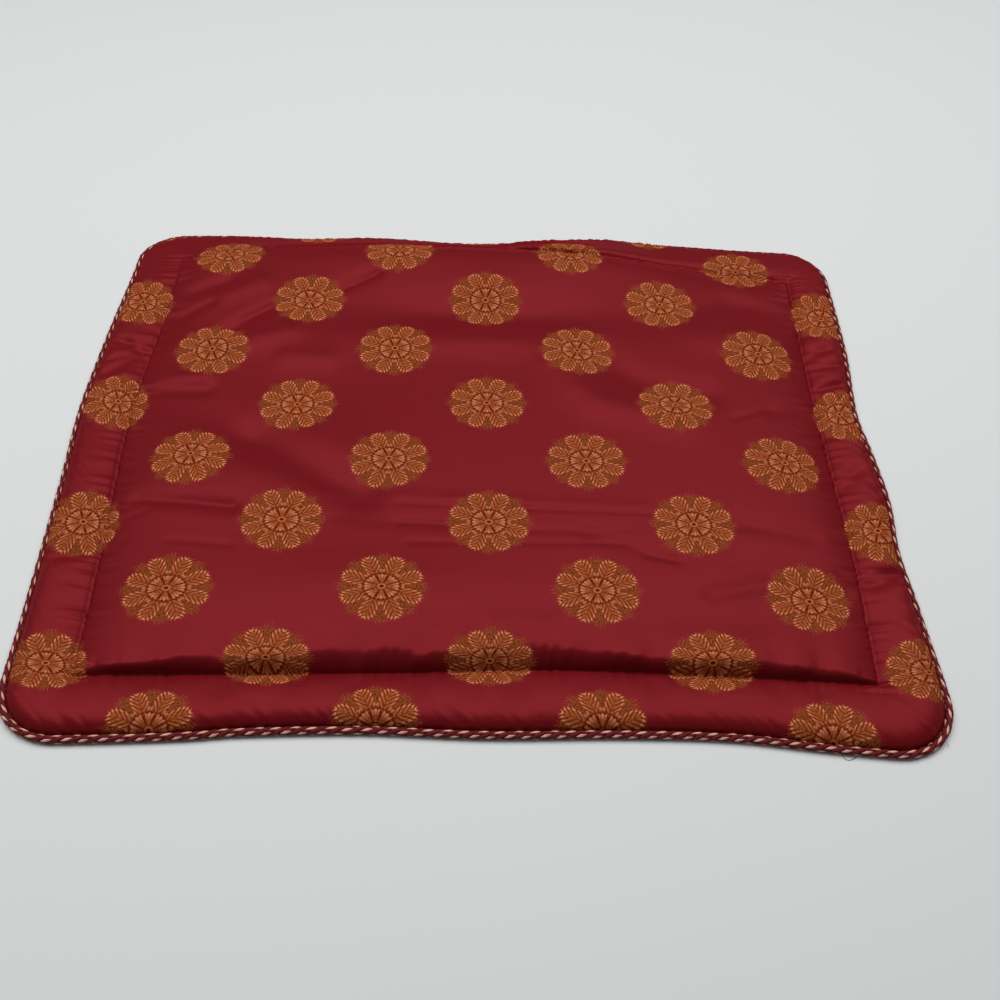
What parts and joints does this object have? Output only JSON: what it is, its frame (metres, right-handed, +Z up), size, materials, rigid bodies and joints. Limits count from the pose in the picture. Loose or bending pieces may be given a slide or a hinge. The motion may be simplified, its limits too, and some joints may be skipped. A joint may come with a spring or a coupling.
{
  "type": "pillow sham",
  "caption": "Rectangular pillow sham laid flat and empty, lightly wadded satin front with stitched flange, rounded corners, twisted cord edge and overlapping envelope back.",
  "frame": {"origin": "middle of the bounding box on the surface the sham lies on", "axes": "+Z up out of the face, +X along the long side, +Y along the short side"},
  "size_m": [0.7858, 0.6351, 0.0349],
  "materials": {
    "satin_face": "crimson satin jacquard with gold-brown woven rosettes",
    "back_cloth": "plain crimson sateen",
    "twisted_cord": "twisted crimson and cream rayon cord"
  },
  "bodies": {
    "root": {"wadded_front": "satin_face", "back_panel_left": "back_cloth", "back_panel_right": "back_cloth", "edge_cord": "twisted_cord"}
  },
  "joints": []
}
